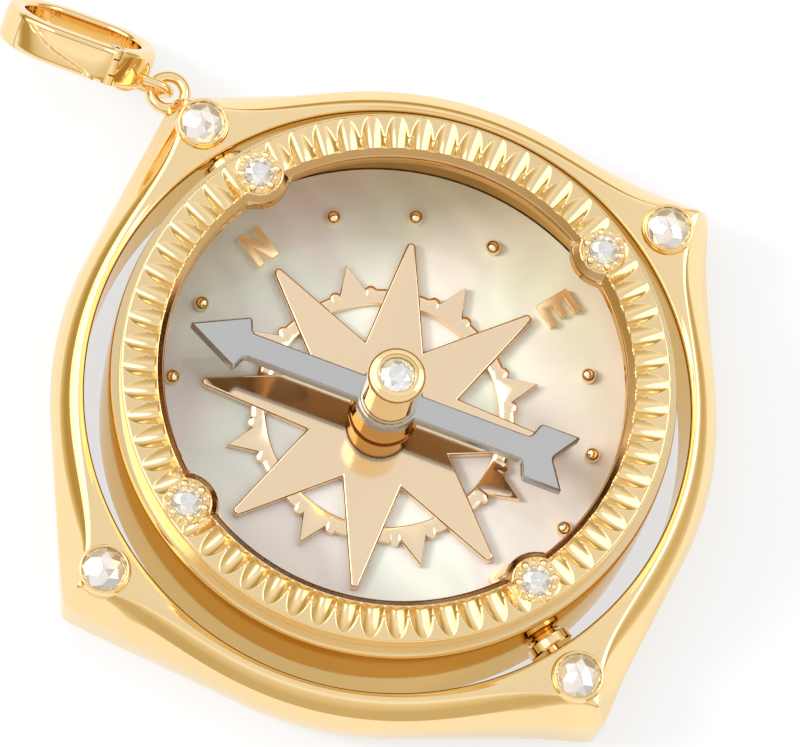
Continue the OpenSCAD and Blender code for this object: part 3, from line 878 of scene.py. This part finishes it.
def from_stone(angle):
    """Angle from the nearest of the four stones."""
    return (angle + 45.0) % 90.0 - 45.0


def build_bezel():
    points = []
    for i in range(4 * PER_QUARTER):
        angle = 90.0 * i / PER_QUARTER
        off = from_stone(angle)
        inner = bezel_inner(off)
        section = [(inner, BEZEL_LOW), (inner, 7.7), (inner, LIP_FOOT)]
        for j in range(1, ACROSS):
            r = blend_values(inner, BEZEL_OUT - 0.10, j / (ACROSS - 1))
            section.append((r, bezel_top(r, off)))
        section += [(BEZEL_OUT - 0.04, 8.37), (BEZEL_OUT - 0.01, 8.33)]
        section += [(BEZEL_OUT, 8.26), (BEZEL_OUT, BEZEL_LOW)]
        a = math.radians(angle)
        points += [(r * math.cos(a), r * math.sin(a), z) for r, z in section]
    faces = grid_faces(4 * PER_QUARTER, len(section), True, True)
    ring = add_piece("bezel_ring", points, faces, gold, "case", ["bezel"], 38.0)
    # Lip: painted shade; inner wall below the lip: darker painted shade; top: rougher flute gold with
    # painted shade
    for extra in (gold_lip_painted_shade, gold_painted_dark_shade, gold_flute_painted_shade):
        ring.data.materials.append(extra)
    for polygon in ring.data.polygons:
        centre = polygon.center / MM
        off = from_stone(math.degrees(math.atan2(centre.y, centre.x)))
        if from_inner_edge(math.hypot(centre.x, centre.y), off) < LIP_W:
            polygon.material_index = 2 if centre.z < LIP_FOOT - 0.05 else 1
        elif centre.z > LIP_FOOT:
            polygon.material_index = 3
    for letter, bearing in QUARTERS.items():
        build_bezel_stone(letter, bearing)


def build_bezel_stone(letter, bearing):
    """Seat, stone, and a ring of claws with a small bead between each two."""
    place = bearing_place(PAD_AT, bearing)
    seat = [(0.0, 8.06), (0.7, 8.06), (0.73, 8.3), (0.74, 8.38), (0.77, 8.40)]
    seat += [(0.80, 8.38), (0.82, 8.3), (0.0, 8.02)]
    points, faces = lathe(seat, 48)
    merge_doubles(add_piece(
        "bezel_seat_" + letter, placed(points, place), faces, foil, "case"
    ))
    beads, bead_faces = [], []
    for k in range(12):
        size, overlap = (0.14, 0.0) if k % 2 else (0.25, 0.12)
        dome = [(0.0, 8.3), (size, 8.3), (size, BEZEL_TOP)] + arc(0, BEZEL_TOP, size, 15, 90, 7)
        points, faces = lathe(dome, 16)
        a = math.radians(30.0 * k + CLAW_TURN - bearing)
        reach = CLAW_FROM + size - overlap
        points = placed(placed(points, (reach * math.cos(a), reach * math.sin(a), 0)), place)
        bead_faces += [tuple(v + len(beads) for v in face) for face in faces]
        beads += list(points)
    # Claws and beads in the paler gold: painted highlight
    merge_doubles(add_piece(
        "bezel_beads_" + letter, beads, bead_faces, gold_painted_highlight, "case"
    ))
    build_brilliant("bezel_stone_" + letter, place, SEAT_R, 8.44, 0.24, 0.34, bearing)


def build_brilliant(node, place, radius, girdle, crown, pavilion, turn):
    """Brilliant-cut stone: girdle, crown facets, table and pavilion, given by its heights."""
    points = circle_points(radius, girdle, 16, turn)
    points += circle_points(radius * 0.80, girdle + crown * 0.56, 8, turn + 22.5)
    points += circle_points(radius * 0.55, girdle + crown, 8, turn)
    points += circle_points(radius, girdle - 0.03, 16, turn)
    points += circle_points(radius * 0.5, girdle - pavilion * 0.6, 8, turn)
    points += [(0, 0, girdle - pavilion)]
    hull_piece(node + "_cut", placed(points, place), stone, "case", [node])


# Compass rose

ROSE_LOW = 1.67
STAR_TOP = 2.18
STAR_ARM = 8.89
STAR_TIP_R = 0.26
STAR_NOTCH = 3.9
STAR_EDGE = 0.13
STAR_SHOULDER = 0.03
RING_TOP = 2.08
RING_IN = 5.8
RING_OUT = 6.6
RING_EDGE = 0.13
RING_SOFT = 0.04
RING_STEPS = 1440
POINT_HALF = 0.72
POINT_FOOT = 6.45
POINT_TIP = 8.0
LOBE_AT = (0.92, 6.44)
LOBE_R = 0.28


def build_rose():
    shoulder = STAR_ARM - STAR_SHOULDER
    arm = [(-STAR_TIP_R, shoulder)] + arc(0, STAR_ARM, STAR_TIP_R, 150, 30, 5)
    arm += [(STAR_TIP_R, shoulder), bearing_place(STAR_NOTCH, 22.5)[:2]]
    star = []
    for k in range(8):
        star += turned(arm, DIAL_TURN - 45.0 * k)
    count = len(star)
    points = [(x, y, ROSE_LOW) for x, y in star] + [(x, y, STAR_TOP) for x, y in star]
    faces = [tuple(range(count)), tuple(range(count, 2 * count))]
    faces += [(i, (i + 1) % count, count + (i + 1) % count, count + i) for i in range(count)]
    plate = add_piece("rose_star", points, faces, gold_satin, "case", ["compass_rose"], 30.0)
    bevel(plate, STAR_EDGE)
    points = []
    for i in range(RING_STEPS):
        angle = 360.0 * i / RING_STEPS
        outer = ring_outer(angle % 45.0 - 22.5)
        section = [(RING_IN, ROSE_LOW), (RING_IN, RING_TOP - RING_EDGE)]
        section += [(RING_IN + RING_SOFT, RING_TOP - RING_SOFT), (RING_IN + RING_EDGE, RING_TOP)]
        section += [(outer - RING_EDGE, RING_TOP), (outer - RING_SOFT, RING_TOP - RING_SOFT)]
        section += [(outer, RING_TOP - RING_EDGE), (outer, ROSE_LOW)]
        a = math.radians(90 - angle + DIAL_TURN)
        points += [(r * math.cos(a), r * math.sin(a), z) for r, z in section]
    faces = grid_faces(RING_STEPS, len(section), True, True)
    add_piece("rose_ring", points, faces, gold_satin, "case", ["compass_rose"], 35.0)


def ring_outer(off):
    """Outer radius of the ring at an angle from the nearest point, with a small lobe beside each point."""
    a = math.radians(abs(off))
    across, along = math.sin(a), math.cos(a)
    spike = 0.0
    slope = across * (POINT_TIP - POINT_FOOT) + along * POINT_HALF
    if slope > 0:
        spike = POINT_HALF * POINT_TIP / slope
        if spike * across > POINT_HALF:
            spike = 0.0
    lobe = 0.0
    reach = LOBE_AT[0] * across + LOBE_AT[1] * along
    beside = LOBE_AT[0] * along - LOBE_AT[1] * across
    if abs(beside) < LOBE_R:
        lobe = reach + math.sqrt(LOBE_R ** 2 - beside ** 2)
    return max(RING_OUT, spike, lobe)


# Post and needle

POST_NECK_LOW = 4.23
NEEDLE_LOW = 4.30
NEEDLE_TOP = 4.92
NEEDLE_RIM = 0.10
NEEDLE_BORE = 1.25
NEEDLE_HEADING = 36.8
NEEDLE_CORNER = 0.2
NEARLY_STRAIGHT = -0.95
CORNER_SHARE = 0.4


def build_post():
    foot = [(0.0, 2.2), (1.72, 2.2), (1.74, 2.26), (1.70, 2.34), (1.64, 2.42), (1.62, 2.56), (1.62, 4.17)]
    neck = [(1.56, POST_NECK_LOW), (1.2, POST_NECK_LOW), (1.2, 4.98), (1.38, 4.98)]
    neck += [(1.44, 5.03), (1.44, 8.1)]
    collar = arc(1.2, 8.2, 0.24, 5, 85, 8)
    collar += [(1.12, 8.44), (1.02, 8.5), (0.93, 8.49), (0.88, 8.44), (0.87, 7.9), (0.0, 7.85)]
    points, faces = lathe(foot + neck + collar, 96)
    body = add_piece("post_turned", points, faces, gold, "case", ["post"], 35.0)
    merge_doubles(body)
    # Lower part of the post, under the needle, gets the darkest gold: painted shade
    body.data.materials.append(gold_painted_dark_shade)
    for polygon in body.data.polygons:
        if polygon.center.z < (POST_NECK_LOW + 0.02) * MM:
            polygon.material_index = 1
    points, faces = lathe([(0.0, 7.9), (0.85, 7.9), (0.86, 8.1), (0.84, 7.95), (0.0, 7.93)], 48)
    merge_doubles(add_piece("post_seat", points, faces, foil, "case"))
    build_brilliant("post_stone", (0, 0, 0), 0.86, 8.36, 0.2, 0.36, 10.0)


def rounded(points, radius):
    """Outline with each clear corner replaced by a short curve."""
    count = len(points)
    made = []
    for i in range(count):
        here = np.array(points[i], float)
        to_last = np.array(points[i - 1], float) - here
        to_next = np.array(points[(i + 1) % count], float) - here
        last_len, next_len = np.linalg.norm(to_last), np.linalg.norm(to_next)
        if np.dot(to_last, to_next) < NEARLY_STRAIGHT * last_len * next_len:
            made.append(tuple(here))
            continue
        reach = min(radius, CORNER_SHARE * last_len, CORNER_SHARE * next_len)
        start = here + to_last / last_len * reach
        end = here + to_next / next_len * reach
        for t in np.linspace(0, 1, 6):
            made.append(tuple((1 - t) ** 2 * start + 2 * t * (1 - t) * here + t * t * end))
    return made


def inset(points, distance):
    """Closed outline moved inward at each of its points."""
    ring = np.array(points, float)
    before = ring - np.roll(ring, 1, axis=0)
    before = before / np.linalg.norm(before, axis=1)[:, None]
    both = before + np.roll(before, -1, axis=0)
    area = np.sum(ring[:, 0] * np.roll(ring[:, 1], -1) - ring[:, 1] * np.roll(ring[:, 0], -1))
    inward = np.stack([-both[:, 1], both[:, 0]], axis=1) * np.sign(area)
    inward /= np.linalg.norm(inward, axis=1)[:, None]
    square = np.stack([-before[:, 1], before[:, 0]], axis=1) * np.sign(area)
    reach = distance / np.maximum(0.5, np.sum(inward * square, axis=1))
    return [tuple(point) for point in ring + inward * reach[:, None]]


def needle_outline():
    head = [(0, 10.5), (-1.42, 7.7), (-0.66, 7.4), (-0.66, 1.55)]
    hub = arc(0, 0, 1.68, 114, 246, 23)
    tail = [(-0.66, -1.55), (-0.66, -7.2), (-1.5, -7.5), (-1.5, -9.58), (0, -8.6)]
    left = head + hub + tail
    right = [(-x, y) for x, y in reversed(left[1:-1])]
    return turned(rounded(left + right, NEEDLE_CORNER), NEEDLE_HEADING)


def needle_side(facing):
    """Material of a face: 0 on top, 1 on a wall with painted shade, 2 underneath with painted dark shade,
    and 3 on the chamfered rim with a painted highlight.
    """
    if facing > 0.9:
        return 0
    if facing > 0.5:
        return 3
    return 1 if facing > -0.5 else 2


def build_needle():
    plan = needle_outline()
    bore = [(x, y) for x, y, z in circle_points(NEEDLE_BORE, 0, 64)]
    build = bmesh.new()
    loops = []
    for points, z in (
        (plan, NEEDLE_LOW),
        (plan, NEEDLE_TOP - NEEDLE_RIM),
        (inset(plan, NEEDLE_RIM), NEEDLE_TOP),
        (bore, NEEDLE_TOP),
        (bore, NEEDLE_LOW),
    ):
        loops.append([build.verts.new(in_metres((x, y, z))) for x, y in points])
    foot, shoulder, top, bore_top, bore_foot = loops
    for lower, upper in ((foot, shoulder), (shoulder, top), (bore_top, bore_foot)):
        for i in range(len(lower)):
            j = (i + 1) % len(lower)
            build.faces.new((lower[i], lower[j], upper[j], upper[i]))
    for pair in ((top, bore_top), (foot, bore_foot)):
        borders = [build.edges.get((loop[i - 1], loop[i])) for loop in pair for i in range(len(loop))]
        bmesh.ops.triangle_fill(build, use_beauty=True, use_dissolve=False, edges=borders)
    bmesh.ops.recalc_face_normals(build, faces=build.faces)
    mesh = bpy.data.meshes.new("needle_plate")
    build.to_mesh(mesh)
    build.free()
    shade_smooth(mesh, 30.0)
    # Dark walls and a dark brown underside are painted shade (the underside also shows as a painted
    # reflection in the rose), and a pale bluish rim is a painted highlight
    for material in (white_gold, white_painted_shade_wall, white_painted_shade_under, white_painted_highlight_rim):
        mesh.materials.append(material)
    for polygon in mesh.polygons:
        polygon.material_index = needle_side(polygon.normal.z)
    obj = new_object("needle_plate", mesh)
    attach(obj, "needle")
    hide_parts("needle")


# Dial, letters and dots, which are the CAD solids

def dress_node(name, material, edge=0.0):
    obj = nodes[name]
    obj.data.materials.clear()
    obj.data.materials.append(material)
    obj.data.polygons.foreach_set("use_smooth", [True] * len(obj.data.polygons))
    join = obj.modifiers.new("join", "WELD")
    join.merge_threshold = 0.001 * MM
    if edge:
        bevel(obj, edge)
    else:
        shade = obj.modifiers.new("shade", "EDGE_SPLIT")
        shade.split_angle = math.radians(35)


build_frame()
build_link()
build_clip()
build_clip_details()
build_case()
build_bezel()
build_rose()
build_post()
build_needle()
dress_node("dial", pearl)
for letter in QUARTERS:
    dress_node("letter_" + letter, gold_letter, 0.05)
for index in range(1, 13):
    # Dots in the paler gold: painted highlight
    dress_node("dot_%d" % index, gold_painted_highlight)


# Floor, light and camera, with the floor and the lights in metres

FLOOR_HALF = 1.5
FLOOR_DROP = 0.00002
LIGHTS_AWAY = 0.6
PHOTO_WIDTH = 800.0
PIXELS_PER_MM = 20.3
EYE_AWAY = 444.0
SENSOR_WIDTH = 36.0
CAMERA_RIGHT = (0.827, -0.5512, 0.1108)
CAMERA_UP = (0.4986, 0.8101, 0.3085)
LOOK_RIGHT = 0.5104
LOOK_UP = 1.1203
LOOK_Z = 5.0


def build_floor():
    mesh = bpy.data.meshes.new("floor")
    corners = [(-1, -1), (1, -1), (1, 1), (-1, 1)]
    mesh.from_pydata([(x * FLOOR_HALF, y * FLOOR_HALF, 0) for x, y in corners], [], [(0, 1, 2, 3)])
    material, _, _, shader = new_material("floor_white")
    shader.inputs["Base Color"].default_value = (0.25, 0.25, 0.26, 1)
    shader.inputs["Roughness"].default_value = 0.9
    shader.inputs["Specular IOR Level"].default_value = 0.0
    set_glow(shader, (1.0, 1.0, 1.0), 0.69)
    mesh.materials.append(material)
    floor = new_object("floor", mesh)
    floor.location.z = -FLOOR_DROP


def aimed_light(name, kind, direction):
    """Light that shines on the origin from a direction."""
    obj = new_object(name, bpy.data.lights.new(name, kind))
    way = Vector(direction).normalized()
    obj.rotation_mode = "QUATERNION"
    obj.rotation_quaternion = way.to_track_quat("Z", "Y")
    obj.location = way * LIGHTS_AWAY
    return obj


def disc_light(name, direction, size, radiance):
    """Round soft light, set by the brightness of its face."""
    light = aimed_light(name, "AREA", direction).data
    light.shape = "DISK"
    light.size = size
    light.energy = radiance * math.pi * math.pi * (size / 2) ** 2


def shadow_light(name, direction, strength):
    """Distant soft light that casts the shadow on the table and isn't seen in the metal."""
    obj = aimed_light(name, "SUN", direction)
    obj.data.energy = strength
    obj.data.angle = math.radians(16)
    obj.visible_glossy = False


def build_world():
    """Pale tent: bright overhead, and a warm dark band low down that is lighter at the front."""
    world = bpy.data.worlds.new("studio")
    bpy.context.scene.world = world
    world.use_nodes = True
    tn, links = world.node_tree.nodes, world.node_tree.links
    back = tn["Background"]
    coords = tn.new("ShaderNodeTexCoord").outputs["Generated"]
    split = tn.new("ShaderNodeSeparateXYZ")
    links.new(coords, split.inputs["Vector"])
    ramp = ramp_node(tn, links, split.outputs["Z"], [
        (0.0, (0.90, 0.82, 0.66)),
        (0.05, (0.70, 0.58, 0.34)),
        (0.14, (0.48, 0.35, 0.13)),
        (0.34, (0.50, 0.37, 0.15)),
        (0.46, (0.74, 0.64, 0.42)),
        (0.60, (0.88, 0.83, 0.75)),
        (0.74, (1.08, 1.06, 1.04)),
        (0.90, (0.90, 0.90, 0.91)),
        (1.0, (0.88, 0.88, 0.90)),
    ])
    front = map_node(tn, links, split.outputs["Y"], (-0.5, 0.3), (0.45, 0.0))
    band = map_node(tn, links, split.outputs["Z"], (0.45, 0.7), (1.0, 0.0))
    share = tn.new("ShaderNodeMath")
    share.operation = "MULTIPLY"
    links.new(front.outputs["Result"], share.inputs[0])
    links.new(band.outputs["Result"], share.inputs[1])
    mix = tn.new("ShaderNodeMix")
    mix.data_type = "RGBA"
    links.new(share.outputs["Value"], mix.inputs["Factor"])
    links.new(ramp.outputs["Color"], mix.inputs[MIX_FIRST])
    mix.inputs[MIX_SECOND].default_value = (0.86, 0.78, 0.60, 1.0)
    links.new(mix.outputs[MIX_RESULT], back.inputs["Color"])
    back.inputs["Strength"].default_value = 1.0


def build_camera():
    """Camera fitted to the photo, held by its right and up directions and the point that it looks at."""
    right = Vector(CAMERA_RIGHT)
    up = Vector(CAMERA_UP)
    back = right.cross(up).normalized()
    up = back.cross(right).normalized()
    right.normalize()
    data = bpy.data.cameras.new("camera")
    data.sensor_width = SENSOR_WIDTH
    data.lens = PIXELS_PER_MM * EYE_AWAY / PHOTO_WIDTH * SENSOR_WIDTH
    data.clip_start = 0.01
    data.clip_end = 10.0
    camera = new_object("camera", data)
    place = (right * LOOK_RIGHT + up * LOOK_UP + back * EYE_AWAY + Vector((0, 0, LOOK_Z))) * MM
    turn = Matrix((right, up, back)).transposed().to_4x4()
    camera.matrix_world = Matrix.Translation(place) @ turn
    bpy.context.scene.camera = camera


build_floor()
build_world()
disc_light("key", (-0.45, 0.75, 0.95), 0.70, 1.15)
disc_light("fill", (0.7, -0.2, 1.0), 0.30, 1.6)
shadow_light("side", (-0.78, 0.60, 0.80), 1.6)
build_camera()
bpy.context.scene.view_settings.view_transform = "Standard"
